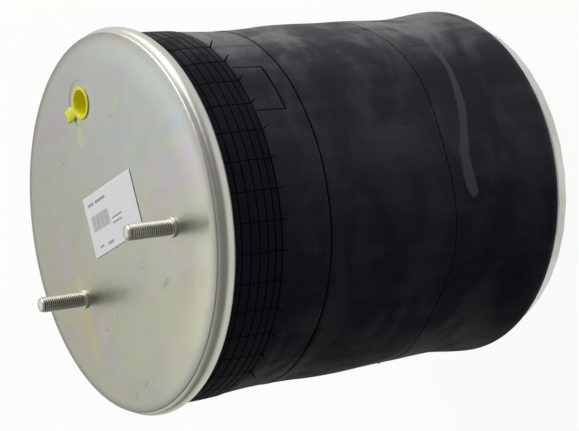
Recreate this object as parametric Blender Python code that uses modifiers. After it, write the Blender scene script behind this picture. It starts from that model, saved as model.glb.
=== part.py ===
"""Rolling-lobe air spring for a vehicle axle, standing on its piston at its closed height.

A steel piston stands on the ground. A rubber bellows is clamped to the piston's top, rolls down
over the piston's wall, turns in a free lobe and goes up to a steel bead plate, whose rim is
crimped round the upper bead. Two threaded studs and the air inlet are on the bead plate. Inside,
a rubber bump stop on the piston carries the plate at the closed height.

Lengths are in metres and +Z is the spring's axis, with the piston's base at z = 0.
"""

import math

import bmesh
import bpy

COLLECTION_NAME = "air_bellows_actuator"

# Facets round the axis, and round small pieces
ROUND_STEPS = 36
MEDIUM_STEPS = 20
SMALL_STEPS = 16
MERGE_DISTANCE = 0.00001
SHARP_ANGLE = math.radians(32)

# Clearance between pieces that touch or seat on each other
GAP = 0.0003

# How far a cutter reaches past what it cuts
CUT_SLACK = 0.002

# Bead plate: a pressed sheet, its flat face, the soft fall to its edge and the crimped rim
SPRING_HEIGHT = 0.3335
PLATE_STEEL = 0.0025
RIM_R = 0.148
RIM_LAND = 0.0119
FACE_FALL_R = 0.030
FACE_FALL_END = 75
FACE_EDGE_R = 0.0015
FACE_EDGE_END = 14
RIM_ROLL_R = 0.007
RIM_ROLL_DROP = 0.0032
RIM_ROLL_START = 47
RIM_ROLL_INNER_START = 60
RIM_ROLL_END = -110

# Studs, M12, on the bead plate
STUD_X = 0.0794
STUD_Y = -0.0329
STUD_R = 0.006
STUD_LENGTH = 0.039
STUD_CHAMFER = 0.0014
STUD_DOME = 0.0004
STUD_COLLAR_R = 0.0076
STUD_COLLAR_H = 0.0022
STUD_COLLAR_CHAMFER = 0.0007
STUD_HEAD_R = 0.011
STUD_HEAD_H = 0.004

# Air inlet, M22, with its transport plug
INLET_FROM_FACE_EDGE = 0.0365
INLET_BORE_R = 0.0105
INLET_BUSH_R = 0.017
INLET_BUSH_H = 0.018
INLET_BUSH_CHAMFER = 0.0015
DIMPLE_R = 0.018
DIMPLE_DEPTH = 0.0008
PLUG_FLANGE_R = 0.0128
PLUG_FLANGE_H = 0.0024
PLUG_ROUND = 0.0006
PLUG_WALL = 0.001
PLUG_LENGTH = 0.013
PLUG_FLOOR = 0.0016
PLUG_MOUTH = 0.0007
TAB_REACH = 0.021
TAB_WIDTH = 0.0095
TAB_THICK = 0.002
TAB_RISE = math.radians(14)
TAB_TURN = math.radians(187)

# Sticker on the plate's face
LABEL_LENGTH = 0.0815
LABEL_WIDTH = 0.0477
LABEL_THICK = 0.0002
LABEL_Y = 0.0073
LABEL_TURN = math.radians(-4.5)

# Bellows: the free lobe, the wall, and the two beads with their wires
LOBE_INSIDE_RIM = 0.006
LOBE_BEND_R = 0.0135
LOBE_FLOOR = 0.0103
RUBBER_THICK = 0.0055
NECK_DEPTH = 0.0205
TREAD_DEPTH = 0.057
TREAD_RISE = 0.0006
BEAD_WIRE_R = 0.0022
BEAD_TOP_GAP = 0.0006
UPPER_BEAD_INSIDE_ROLL = 0.0027
UPPER_BEAD_WIDTH = 0.0078
UPPER_BEAD_DEPTH = 0.0174
LOWER_BEAD_WIDTH = 0.0099
LOWER_BEAD_H = 0.011

# Wall of the bellows above the lobe: share of the height up to the neck, radius less LOBE_R
WALL_SHAPE = (
    (0.08, -0.0020),
    (0.167, -0.0042),
    (0.27, -0.0031),
    (0.50, -0.0016),
    (0.62, -0.0026),
    (0.713, -0.0031),
    (0.80, -0.0021),
)
TREAD_R_DROP = 0.0008
NECK_R_DROP = 0.0016

# Piston: a drawn steel cup with a seat for the lower bead
PISTON_HEIGHT = 0.220
PISTON_STEEL = 0.0025
PISTON_SHOULDER_R = 0.025
ROOF_ROUND = 0.0042
SEAT_DEPTH = 0.015
SEAT_LAND = 0.0347
SEAT_FILLET = 0.003
SKIRT_PAST_LOBE_CENTRE = 0.003
SKIRT_ROUND = 0.003
FLARE_END = 255

# Base of the piston
BASE_PLATE_THICK = 0.004
TUBE_R = 0.030
TUBE_WALL = 0.0035
BASE_NUT_X = 0.060
BASE_HOLE_CLEARANCE = 0.0007

# Fasteners, M16
M16_R = 0.008
M16_MINOR_R = 0.007
M16_ACROSS_FLATS = 0.024
M16_HEAD_H = 0.010
M16_NUT_H = 0.013
BOLT_TIP = 0.005
BOLT_CHAMFER = 0.001
WASHER_R = 0.015
WASHER_THICK = 0.003
CHAMFER_SLOPE = math.tan(math.radians(30))

# Clamp plate over the lower bead
RETAINER_STEEL = 0.0025
RETAINER_RAMP = 0.0036
RETAINER_ROUND = 0.004
RETAINER_LIP = 0.003

# Bump stop: a waisted rubber block on a steel insert
STOP_BASE_R = 0.046
STOP_WAIST_R = 0.038
STOP_TOP_R = 0.041
STOP_BORE_R = 0.021
STOP_ROUND = 0.008
STOP_INSERT_THICK = 0.003

# Where the bump stop's base, taper and waist end, as shares of its height
STOP_BASE_SHARE = 0.2
STOP_TAPER_SHARE = 0.45
STOP_WAIST_SHARE = 0.62

# Places that follow from the sizes
PLATE_UNDERSIDE = SPRING_HEIGHT - PLATE_STEEL
FACE_R = RIM_R - RIM_LAND
INLET_Y = FACE_R - INLET_FROM_FACE_EDGE
FACE_FALL_CENTRE = (FACE_R, SPRING_HEIGHT - FACE_FALL_R)
ROLL_CENTRE = (RIM_R - RIM_ROLL_R, SPRING_HEIGHT - RIM_ROLL_DROP - RIM_ROLL_R)
UPPER_BEAD_R = ROLL_CENTRE[0] - UPPER_BEAD_INSIDE_ROLL
LOBE_R = RIM_R - LOBE_INSIDE_RIM
LOBE_CENTRE = (LOBE_R - LOBE_BEND_R, LOBE_FLOOR + LOBE_BEND_R)
PISTON_R = LOBE_R - 2 * LOBE_BEND_R - GAP
SEAT_R = PISTON_R - SEAT_LAND
SKIRT_R = LOBE_CENTRE[0] + SKIRT_PAST_LOBE_CENTRE
PISTON_ROOF = PISTON_HEIGHT - PISTON_STEEL
SEAT_Z = PISTON_HEIGHT - SEAT_DEPTH
SHOULDER_CENTRE = (PISTON_R - PISTON_SHOULDER_R, SEAT_Z - PISTON_SHOULDER_R)
SKIRT_TOP = LOBE_FLOOR - 2 * GAP
LOWER_BEAD_R = SEAT_R + GAP + LOWER_BEAD_WIDTH
LOWER_BEAD_TOP = SEAT_Z + GAP + LOWER_BEAD_H
RETAINER_Z = PISTON_HEIGHT + GAP
RETAINER_RIM_R = LOWER_BEAD_R + GAP + RETAINER_STEEL
RETAINER_RIM_TOP = LOWER_BEAD_TOP + GAP + RETAINER_STEEL
RETAINER_ROUND_CENTRE = (RETAINER_RIM_R - RETAINER_ROUND, RETAINER_RIM_TOP - RETAINER_ROUND)
INSERT_Z = RETAINER_Z + RETAINER_STEEL + GAP
STACK_TOP = INSERT_Z + STOP_INSERT_THICK
WASHER_Z = STACK_TOP + GAP
BOLT_SEAT = WASHER_Z + WASHER_THICK + GAP
NUT_Z = PISTON_ROOF - GAP - M16_NUT_H
UPPER_BEAD_TOP = SPRING_HEIGHT - PLATE_STEEL - BEAD_TOP_GAP
NECK_Z = SPRING_HEIGHT - NECK_DEPTH
TREAD_Z = SPRING_HEIGHT - TREAD_DEPTH


def clear_scene():
    """Remove every object of the scene that the script starts in."""
    for old in list(bpy.data.objects):
        bpy.data.objects.remove(old, do_unlink=True)


def make_collection(name):
    """A new collection under the scene's own."""
    made = bpy.data.collections.new(name)
    bpy.context.scene.collection.children.link(made)
    return made


def make_material(name, colour, roughness, metallic=0.0):
    """A Principled material with the piece's colour."""
    material = bpy.data.materials.new(name)
    material.use_nodes = True
    shader = material.node_tree.nodes["Principled BSDF"]
    shader.inputs["Base Color"].default_value = (*colour, 1.0)
    shader.inputs["Roughness"].default_value = roughness
    shader.inputs["Metallic"].default_value = metallic
    material.diffuse_color = (*colour, 1.0)
    return material


def place(name, mesh, material, location=(0.0, 0.0, 0.0), turn=0.0):
    """Make an object of a mesh, among the parts."""
    made = bpy.data.objects.new(name, mesh)
    made.location = location
    made.rotation_euler = (0.0, 0.0, turn)
    mesh.materials.append(material)
    PARTS.objects.link(made)
    return made


def arc(centre, radius, start, end, steps):
    """Points of an arc in the profile plane, angles in degrees from +r towards +z."""
    points = []
    for step in range(steps + 1):
        angle = math.radians(start + (end - start) * step / steps)
        points.append((centre[0] + radius * math.cos(angle), centre[1] + radius * math.sin(angle)))
    return points


def turned(name, profile, material, steps, closed=False, location=(0.0, 0.0, 0.0)):
    """Turn an (r, z) profile about Z. It runs down its outer side; a closed one makes a ring."""
    shape = bmesh.new()
    points = [shape.verts.new((r, 0.0, z)) for r, z in profile]
    for first, second in zip(points, points[1:]):
        shape.edges.new((first, second))
    if closed:
        shape.edges.new((points[-1], points[0]))
    mesh = bpy.data.meshes.new(name)
    shape.to_mesh(mesh)
    shape.free()
    made = place(name, mesh, material, location)
    screw = made.modifiers.new("Turn", 'SCREW')
    screw.axis = 'Z'
    screw.angle = 2 * math.pi
    screw.steps = steps
    screw.render_steps = steps
    screw.use_merge_vertices = True
    screw.merge_threshold = MERGE_DISTANCE
    return made


def thicken(target, thickness):
    """Give a turned sheet its thickness, on its inner side."""
    solidify = target.modifiers.new("Sheet", 'SOLIDIFY')
    solidify.thickness = thickness
    solidify.offset = -1.0
    solidify.use_even_offset = True
    return target


def primitive(name, material, build, location=(0.0, 0.0, 0.0), turn=0.0):
    """An object from one of the mesh primitives, which build adds to a new bmesh."""
    shape = bmesh.new()
    build(shape)
    mesh = bpy.data.meshes.new(name)
    shape.to_mesh(mesh)
    shape.free()
    return place(name, mesh, material, location, turn)


def make_tool(tool):
    """Move an object from the parts to the cutters, hidden in renders."""
    PARTS.objects.unlink(tool)
    CUTTERS.objects.link(tool)
    tool.hide_render = True
    tool.display_type = 'WIRE'
    return tool


def combine(target, tool, operation):
    """Cut, join or intersect a part with a tool."""
    boolean = target.modifiers.new(tool.name, 'BOOLEAN')
    boolean.operation = operation
    boolean.solver = 'EXACT'
    boolean.object = make_tool(tool)


def round_tool(name, radius, low, high, location, steps, top_radius=None):
    """A cylinder or cone from low to high, as a tool to cut or join with."""
    def build(shape):
        bmesh.ops.create_cone(shape, cap_ends=True, segments=steps, radius1=radius,
                              radius2=top_radius or radius, depth=high - low)
    middle = (location[0], location[1], (low + high) / 2)
    return primitive(name, STEEL, build, middle)


def hex_prism(name, height, material, location, chamfer_bottom):
    """A hexagon with its corners turned off at the top, and for a nut at the bottom too."""
    half = M16_ACROSS_FLATS / 2
    corner = half / math.cos(math.pi / 6)
    outside = corner + GAP

    def build(shape):
        bmesh.ops.create_cone(shape, cap_ends=True, segments=6, radius1=corner,
                              radius2=corner, depth=height)
    prism = primitive(name, material, build, (location[0], location[1], location[2] + height / 2))
    drop = (outside - half) * CHAMFER_SLOPE
    low = location[2]
    top = low + height
    drum = [(0.0, top + GAP), (half, top + GAP), (half, top), (outside, top - drop)]
    if chamfer_bottom:
        drum += [(outside, low + drop), (half, low), (half, low - GAP), (0.0, low - GAP)]
    else:
        drum += [(outside, low - GAP), (0.0, low - GAP)]
    turned_drum = turned(name + "_corners", drum, material, MEDIUM_STEPS,
                         location=(location[0], location[1], 0.0))
    combine(prism, turned_drum, 'INTERSECT')
    return prism


def hex_nut(name, low, x, bore_r):
    """A hexagon nut with its bore."""
    nut = hex_prism(name, M16_NUT_H, ZINC, (x, 0.0, low), chamfer_bottom=True)
    bore = round_tool(name + "_bore", bore_r, low - CUT_SLACK, low + M16_NUT_H + CUT_SLACK,
                      (x, 0.0), SMALL_STEPS)
    combine(nut, bore, 'DIFFERENCE')
    return nut


def ring(inner_r, outer_r, low, high):
    """Closed profile of a flat ring."""
    return [(inner_r, high), (outer_r, high), (outer_r, low), (inner_r, low)]


def wall_line(side_offset):
    """Points of the bellows' wall from the neck down to the lobe, moved in by side_offset."""
    lobe_z = LOBE_CENTRE[1]
    span = NECK_Z - lobe_z
    points = [(LOBE_R - NECK_R_DROP - side_offset, NECK_Z)]
    points.append((LOBE_R - side_offset, TREAD_Z + 0.5 * (NECK_Z - TREAD_Z)))
    points.append((LOBE_R - TREAD_R_DROP - side_offset, TREAD_Z))
    for share, change in reversed(WALL_SHAPE):
        points.append((LOBE_R + change - side_offset, lobe_z + share * span))
    return points


def bead_slot(inner_r, outer_r, top, floor):
    """Slot for a bead wire, open at the top, walked from its inner to its outer edge."""
    return [(inner_r, top), (inner_r, floor), (outer_r, floor), (outer_r, top)]


def make_bellows():
    """Rubber bellows with both beads: one closed profile, turned about the axis."""
    bead_in = UPPER_BEAD_R - UPPER_BEAD_WIDTH
    wire_half = BEAD_WIRE_R + GAP
    upper_wire_r = upper_wire_place()[0]
    lower_wire_r, lower_wire_z = lower_wire_place()
    toe_r = RIM_ROLL_R - PLATE_STEEL - GAP
    toe = arc(ROLL_CENTRE, toe_r, 115, -90, 4)
    upper_slot_floor = upper_wire_place()[1] - wire_half

    profile = bead_slot(upper_wire_r - wire_half, upper_wire_r + wire_half, UPPER_BEAD_TOP,
                        upper_slot_floor)
    profile += toe
    profile.append((UPPER_BEAD_R, toe[-1][1] + GAP))
    profile.append((UPPER_BEAD_R, SPRING_HEIGHT - UPPER_BEAD_DEPTH))

    wall = wall_line(0.0)
    tread_end = wall[2]
    profile += wall[:2]
    profile.append((tread_end[0] + TREAD_RISE, tread_end[1]))
    profile.append((tread_end[0], tread_end[1] - TREAD_RISE))
    profile += wall[3:]

    profile += arc(LOBE_CENTRE, LOBE_BEND_R, 0, -180, 8)
    seat_r = PISTON_SHOULDER_R + GAP
    profile += arc(SHOULDER_CENTRE, seat_r, 0, 90, 4)
    fillet_centre = (SEAT_R + GAP + SEAT_FILLET, SEAT_Z + GAP + SEAT_FILLET)
    profile += arc(fillet_centre, SEAT_FILLET, 270, 180, 2)
    profile.append((SEAT_R + GAP, LOWER_BEAD_TOP))
    profile += bead_slot(lower_wire_r - wire_half, lower_wire_r + wire_half, LOWER_BEAD_TOP,
                         lower_wire_z - wire_half)
    profile += arc(RETAINER_ROUND_CENTRE, RETAINER_ROUND - RETAINER_STEEL - GAP, 90, 0, 2)
    air_side = seat_r + RUBBER_THICK
    start = math.degrees(math.acos((LOWER_BEAD_R - SHOULDER_CENTRE[0]) / air_side))
    profile += arc(SHOULDER_CENTRE, air_side, start, 0, 4)
    profile += arc(LOBE_CENTRE, LOBE_BEND_R - RUBBER_THICK, -180, 0, 6)
    profile += reversed(wall_line(RUBBER_THICK)[::2])
    profile.append((bead_in, SPRING_HEIGHT - UPPER_BEAD_DEPTH))
    profile.append((bead_in, UPPER_BEAD_TOP))
    return turned("bellows", profile, RUBBER, ROUND_STEPS, closed=True)


def upper_wire_place():
    """Centre of the upper bead wire in the profile plane."""
    return (UPPER_BEAD_R - UPPER_BEAD_WIDTH / 2, UPPER_BEAD_TOP - BEAD_WIRE_R - 3 * GAP)


def lower_wire_place():
    """Centre of the lower bead wire in the profile plane."""
    return (LOWER_BEAD_R - LOWER_BEAD_WIDTH / 2, LOWER_BEAD_TOP - BEAD_WIRE_R - 3 * GAP)


def make_bead_wires():
    """Steel hoops in the slots of the two beads."""
    for name, centre in (("upper_bead_wire", upper_wire_place()),
                         ("lower_bead_wire", lower_wire_place())):
        section = arc(centre, BEAD_WIRE_R, 90, -210, 5)
        turned(name, section, STEEL, ROUND_STEPS, closed=True)


def make_bead_plate():
    """Top plate: flat face, soft fall to its edge, side band and the rim crimped round the bead."""
    fall = math.radians(FACE_FALL_END)
    to_edge = FACE_FALL_R - FACE_EDGE_R
    edge_centre = (FACE_FALL_CENTRE[0] + to_edge * math.cos(fall),
                   FACE_FALL_CENTRE[1] + to_edge * math.sin(fall))
    profile = [(0.0, SPRING_HEIGHT)]
    profile += arc(FACE_FALL_CENTRE, FACE_FALL_R, 90, FACE_FALL_END, 2)
    profile += arc(edge_centre, FACE_EDGE_R, FACE_FALL_END, FACE_EDGE_END, 3)[1:]
    profile += arc(ROLL_CENTRE, RIM_ROLL_R, RIM_ROLL_START, RIM_ROLL_END, 8)
    profile += arc(ROLL_CENTRE, RIM_ROLL_R - PLATE_STEEL, RIM_ROLL_END, RIM_ROLL_INNER_START, 6)
    profile += arc(FACE_FALL_CENTRE, FACE_FALL_R - PLATE_STEEL, FACE_FALL_END, 90, 2)
    profile.append((0.0, PLATE_UNDERSIDE))
    plate = turned("bead_plate", profile, ZINC, ROUND_STEPS)

    low = PLATE_UNDERSIDE - CUT_SLACK
    high = SPRING_HEIGHT + CUT_SLACK
    for number, x in ((1, -STUD_X), (2, STUD_X)):
        hole = round_tool(f"stud_hole_{number}", STUD_R + GAP, low, high, (x, STUD_Y), SMALL_STEPS)
        combine(plate, hole, 'DIFFERENCE')
    bore = round_tool("inlet_hole", INLET_BORE_R, low, high, (0.0, INLET_Y), MEDIUM_STEPS)
    combine(plate, bore, 'DIFFERENCE')
    floor = SPRING_HEIGHT - DIMPLE_DEPTH
    dimple = round_tool("inlet_dimple", DIMPLE_R - DIMPLE_DEPTH, floor, floor + 2 * DIMPLE_DEPTH,
                        (0.0, INLET_Y), MEDIUM_STEPS, top_radius=DIMPLE_R + DIMPLE_DEPTH)
    combine(plate, dimple, 'DIFFERENCE')
    return plate


def make_studs():
    """Two studs: head under the plate, collar on its face, threaded end upwards."""
    top = STUD_LENGTH
    under = -PLATE_STEEL - GAP
    profile = [
        (0.0, top + STUD_DOME),
        (STUD_R - STUD_CHAMFER, top),
        (STUD_R, top - STUD_CHAMFER),
        (STUD_R, GAP + STUD_COLLAR_H),
        (STUD_COLLAR_R, GAP + STUD_COLLAR_H - STUD_COLLAR_CHAMFER),
        (STUD_COLLAR_R, GAP),
        (STUD_R, GAP),
        (STUD_R, under),
        (STUD_HEAD_R, under),
        (STUD_HEAD_R, under - STUD_HEAD_H),
        (0.0, under - STUD_HEAD_H),
    ]
    for number, x in ((1, -STUD_X), (2, STUD_X)):
        turned(f"mounting_stud_{number}", profile, ZINC, SMALL_STEPS,
               location=(x, STUD_Y, SPRING_HEIGHT))


def make_inlet_bush():
    """Threaded bush welded under the plate, round the inlet."""
    top = PLATE_UNDERSIDE - GAP
    low = top - INLET_BUSH_H
    profile = [
        (INLET_BORE_R, top),
        (INLET_BUSH_R, top),
        (INLET_BUSH_R, low + INLET_BUSH_CHAMFER),
        (INLET_BUSH_R - INLET_BUSH_CHAMFER, low),
        (INLET_BORE_R, low),
    ]
    turned("inlet_bush", profile, STEEL, MEDIUM_STEPS, closed=True, location=(0.0, INLET_Y, 0.0))


def make_inlet_plug():
    """Plastic transport plug: a cup with a flange on the plate and a pull tab."""
    seat = GAP - DIMPLE_DEPTH
    top = seat + PLUG_FLANGE_H
    stem_r = INLET_BORE_R - GAP
    cup_r = stem_r - PLUG_WALL
    bottom = top - PLUG_LENGTH
    profile = [
        (0.0, bottom + PLUG_FLOOR),
        (cup_r, bottom + PLUG_FLOOR),
        (cup_r, top - PLUG_MOUTH),
        (cup_r + PLUG_MOUTH, top),
        (PLUG_FLANGE_R - PLUG_ROUND, top),
        (PLUG_FLANGE_R, top - PLUG_ROUND),
        (PLUG_FLANGE_R, seat),
        (stem_r, seat),
        (stem_r, bottom + PLUG_ROUND),
        (stem_r - PLUG_ROUND, bottom),
        (0.0, bottom),
    ]
    plug = turned("inlet_plug", profile, PLASTIC, MEDIUM_STEPS,
                  location=(0.0, INLET_Y, SPRING_HEIGHT))

    root = (cup_r + PLUG_MOUTH + PLUG_FLANGE_R) / 2
    reach = TAB_REACH - root

    def build(shape):
        bmesh.ops.create_cube(shape, size=1.0)
        bmesh.ops.scale(shape, vec=(reach, TAB_WIDTH, TAB_THICK), verts=shape.verts)
        bmesh.ops.translate(shape, vec=(reach / 2, 0.0, TAB_THICK / 2), verts=shape.verts)
    foot = (root * math.cos(TAB_TURN), INLET_Y + root * math.sin(TAB_TURN),
            SPRING_HEIGHT + seat + GAP)
    tab = primitive("inlet_plug_tab", PLASTIC, build, foot, TAB_TURN)
    tab.rotation_euler = (0.0, -TAB_RISE, TAB_TURN)
    combine(plug, tab, 'UNION')
    return plug


def make_label():
    """Bare paper sticker on the plate's face."""
    def build(shape):
        bmesh.ops.create_cube(shape, size=1.0)
        bmesh.ops.scale(shape, vec=(LABEL_LENGTH, LABEL_WIDTH, LABEL_THICK), verts=shape.verts)
    height = SPRING_HEIGHT + GAP + LABEL_THICK / 2
    primitive("label", PAPER, build, (0.0, LABEL_Y, height), LABEL_TURN)


def make_piston():
    """Drawn piston: roof, bead seat, shoulder, wall, flare under the lobe and skirt."""
    profile = [(M16_R + GAP, PISTON_HEIGHT)]
    profile += arc((SEAT_R - ROOF_ROUND, PISTON_HEIGHT - ROOF_ROUND), ROOF_ROUND, 90, 0, 2)
    profile += arc((SEAT_R + SEAT_FILLET, SEAT_Z + SEAT_FILLET), SEAT_FILLET, 180, 270, 2)
    profile += arc(SHOULDER_CENTRE, PISTON_SHOULDER_R, 90, 0, 4)
    profile += arc(LOBE_CENTRE, LOBE_BEND_R + GAP, 180, FLARE_END, 4)
    profile += arc((SKIRT_R - SKIRT_ROUND, SKIRT_TOP - SKIRT_ROUND), SKIRT_ROUND, 90, 0, 2)
    profile.append((SKIRT_R, 0.0))
    return thicken(turned("piston_shell", profile, ZINC, ROUND_STEPS), PISTON_STEEL)


def make_base():
    """Base plate welded in the skirt, with the nuts that the axle's bolts go into, and the tube."""
    plate_r = SKIRT_R - PISTON_STEEL - 2 * GAP
    plate = turned("piston_base_plate", ring(TUBE_R - TUBE_WALL, plate_r, 0.0, BASE_PLATE_THICK),
                   ZINC, ROUND_STEPS, closed=True)
    for number, x in ((1, -BASE_NUT_X), (2, BASE_NUT_X)):
        hole = round_tool(f"base_hole_{number}", M16_R + BASE_HOLE_CLEARANCE, -CUT_SLACK,
                          BASE_PLATE_THICK + CUT_SLACK, (x, 0.0), SMALL_STEPS)
        combine(plate, hole, 'DIFFERENCE')
        hex_nut(f"base_nut_{number}", BASE_PLATE_THICK + GAP, x, M16_MINOR_R)
    tube = ring(TUBE_R - TUBE_WALL, TUBE_R, BASE_PLATE_THICK + GAP, PISTON_ROOF - GAP)
    turned("piston_centre_tube", tube, STEEL, MEDIUM_STEPS, closed=True)


def make_retainer():
    """Clamp plate that holds the lower bead down on the piston's seat."""
    top = RETAINER_Z + RETAINER_STEEL
    ramp_r = SEAT_R - 2 * GAP
    profile = [(M16_R + GAP, top), (ramp_r, top), (ramp_r + RETAINER_RAMP, RETAINER_RIM_TOP)]
    profile += arc(RETAINER_ROUND_CENTRE, RETAINER_ROUND, 90, 0, 2)
    profile.append((RETAINER_RIM_R, RETAINER_ROUND_CENTRE[1] - RETAINER_LIP))
    return thicken(turned("bead_retainer", profile, STEEL, ROUND_STEPS), RETAINER_STEEL)


def make_bump_stop():
    """Waisted rubber block with an open bore, on the steel insert that the bolt clamps."""
    low = STACK_TOP + GAP
    top = PLATE_UNDERSIDE - GAP
    height = top - low
    profile = [(STOP_BORE_R, top), (STOP_TOP_R - STOP_ROUND, top)]
    profile += arc((STOP_TOP_R - STOP_ROUND, top - STOP_ROUND), STOP_ROUND, 75, 0, 3)
    profile.append((STOP_WAIST_R, low + STOP_WAIST_SHARE * height))
    profile.append((STOP_WAIST_R, low + STOP_TAPER_SHARE * height))
    profile.append((STOP_BASE_R, low + STOP_BASE_SHARE * height))
    profile.append((STOP_BASE_R, low))
    profile.append((STOP_BORE_R, low))
    turned("bump_stop", profile, STOP_RUBBER, MEDIUM_STEPS, closed=True)
    insert = ring(M16_R + GAP, STOP_BASE_R, INSERT_Z, STACK_TOP)
    turned("bump_stop_insert", insert, STEEL, MEDIUM_STEPS, closed=True)


def make_clamp_fasteners():
    """Bolt, washer and nut that clamp insert, retainer and piston roof together."""
    washer = ring(M16_R + GAP, WASHER_R, WASHER_Z, WASHER_Z + WASHER_THICK)
    turned("clamp_washer", washer, ZINC, MEDIUM_STEPS, closed=True)
    bolt = hex_prism("clamp_bolt", M16_HEAD_H, ZINC, (0.0, 0.0, BOLT_SEAT), chamfer_bottom=False)
    tip = NUT_Z - BOLT_TIP
    shank_top = BOLT_SEAT + M16_HEAD_H / 2
    shank = turned("clamp_bolt_shank", [
        (0.0, shank_top),
        (M16_R, shank_top),
        (M16_R, tip + BOLT_CHAMFER),
        (M16_R - BOLT_CHAMFER, tip),
        (0.0, tip),
    ], ZINC, MEDIUM_STEPS)
    combine(bolt, shank, 'UNION')
    nut = hex_prism("clamp_nut", M16_NUT_H, ZINC, (0.0, 0.0, NUT_Z), chamfer_bottom=True)
    bore = round_tool("clamp_nut_bore", M16_R + GAP, NUT_Z - CUT_SLACK,
                      NUT_Z + M16_NUT_H + CUT_SLACK, (0.0, 0.0), MEDIUM_STEPS)
    combine(nut, bore, 'DIFFERENCE')


def settle_meshes():
    """Keep each part's evaluated mesh, shaded smooth with sharp edges where it turns."""
    graph = bpy.context.evaluated_depsgraph_get()
    finished = {}
    for part in PARTS.objects:
        finished[part] = bpy.data.meshes.new_from_object(part.evaluated_get(graph))
    for part, mesh in finished.items():
        part.modifiers.clear()
        part.data = mesh
        mesh.shade_smooth()
        mesh.set_sharp_from_angle(angle=SHARP_ANGLE)


clear_scene()
PARTS = make_collection(COLLECTION_NAME)
CUTTERS = make_collection("cutters")

ZINC = make_material("zinc_plated_steel", (0.45, 0.46, 0.42), 0.38, 0.9)
STEEL = make_material("plain_steel", (0.33, 0.34, 0.35), 0.45, 0.9)
RUBBER = make_material("bellows_rubber", (0.022, 0.021, 0.024), 0.6)
STOP_RUBBER = make_material("bump_stop_rubber", (0.03, 0.03, 0.03), 0.7)
PLASTIC = make_material("plug_plastic", (0.70, 0.68, 0.04), 0.45)
PAPER = make_material("label_paper", (0.75, 0.75, 0.77), 0.6)

make_piston()
make_base()
make_retainer()
make_clamp_fasteners()
make_bump_stop()
make_bellows()
make_bead_wires()
make_bead_plate()
make_studs()
make_inlet_bush()
make_inlet_plug()
make_label()
settle_meshes()
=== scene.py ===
"""Looks of the air bellows actuator: its rolled rubber, plated steel, studs, plug and sticker."""
import math

import bmesh
import bpy
import numpy as np
from mathutils import Matrix, Vector


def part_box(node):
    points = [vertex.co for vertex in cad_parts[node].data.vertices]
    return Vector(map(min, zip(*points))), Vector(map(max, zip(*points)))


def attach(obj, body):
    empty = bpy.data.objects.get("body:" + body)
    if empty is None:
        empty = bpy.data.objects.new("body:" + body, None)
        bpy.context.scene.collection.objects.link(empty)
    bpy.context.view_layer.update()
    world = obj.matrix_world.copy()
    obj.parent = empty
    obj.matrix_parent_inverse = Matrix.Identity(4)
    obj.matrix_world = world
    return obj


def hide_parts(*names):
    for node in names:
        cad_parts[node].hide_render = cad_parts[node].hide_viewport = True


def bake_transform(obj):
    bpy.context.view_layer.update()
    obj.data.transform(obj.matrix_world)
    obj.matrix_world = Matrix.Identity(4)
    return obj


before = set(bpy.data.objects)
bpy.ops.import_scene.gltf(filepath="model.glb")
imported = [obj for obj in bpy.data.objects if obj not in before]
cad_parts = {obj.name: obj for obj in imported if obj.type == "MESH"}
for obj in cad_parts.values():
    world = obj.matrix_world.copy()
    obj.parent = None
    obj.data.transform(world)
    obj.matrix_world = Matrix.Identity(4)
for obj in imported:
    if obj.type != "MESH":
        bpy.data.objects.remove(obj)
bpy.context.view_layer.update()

# Sizes below are in millimetres and angles in degrees, unless a comment says otherwise.
# The frame's +Z runs from the piston to the bead plate.
MM = 0.001

# Bead plate
FACE_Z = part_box("bead_plate")[1].z / MM
PLATE_STEEL = 2.5
RIM_R = 148.0
FACE_R = RIM_R - 11.9
FALL_R = 30.0
FALL_CENTRE = (FACE_R, FACE_Z - FALL_R)
FALL_END = 75
EDGE_R = 1.5
EDGE_END = 14
ROLL_R = 7.0
ROLL_CENTRE = (RIM_R - ROLL_R, FACE_Z - 10.2)
ROLL_START = 47
ROLL_END = -110
ROLL_LINING_END = 60
PLATE_COLUMNS = 360
FACE_ROWS = 18

# Air inlet and its plug
INLET = (0.0, 99.6)
INLET_HOLE_R = 10.6
BOSS_R = 18.0
BOSS_RISE = 0.45
BOSS_SOFT = 2.2
BOSS_RINGS = [INLET_HOLE_R, 11.6, 13.0, 14.5, 15.6, 16.4, 17.2, 18.0, 18.8, 19.6, 20.6, 22.0]
PLUG_FLANGE_R = 12.8
PLUG_FLANGE = (FACE_Z + 0.50, FACE_Z + 1.45)
PLUG_BODY_R = 10.2
PLUG_NOSE_R = 8.9
PLUG_NOSE = 6.0
PLUG_CUP_R = 9.7
PLUG_CUP_LIP = 2.5
PLUG_BOTTOM = FACE_Z - 11.1
PLUG_FLOOR = PLUG_BOTTOM + 1.2
TAB_ANGLE = 187
TAB_REACH = 22.0
TAB_WIDTH = 11.0
TAB_RISE = 14
TAB_SUNK = 1.0
TAB_BEVEL = 0.25
# Stations of the tab: distance from the inlet, lift where the rise is TAB_DRAWN_RISE, thickness,
# and share of the width
TAB_DRAWN_RISE = 0.25
TAB_STATIONS = [(9.9, 0.0, 1.7, 0.82), (11.4, 0.05, 1.9, 0.84), (13.0, 0.3, 2.0, 0.90),
                (14.6, 0.75, 2.2, 0.97), (15.2, 0.95, 2.2, 1.0), (17.0, 1.45, 2.2, 1.0),
                (19.0, 2.0, 2.1, 1.0), (20.5, 2.42, 2.0, 0.98), (TAB_REACH, 2.55, 1.5, 0.94)]
# Corners of the tab's section, as shares of half its width and half its thickness
TAB_SECTION = [(-1, -0.6), (-0.85, -1), (0.85, -1), (1, -0.6), (1, 0.6), (0.85, 1), (-0.85, 1), (-1, 0.6)]

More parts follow.
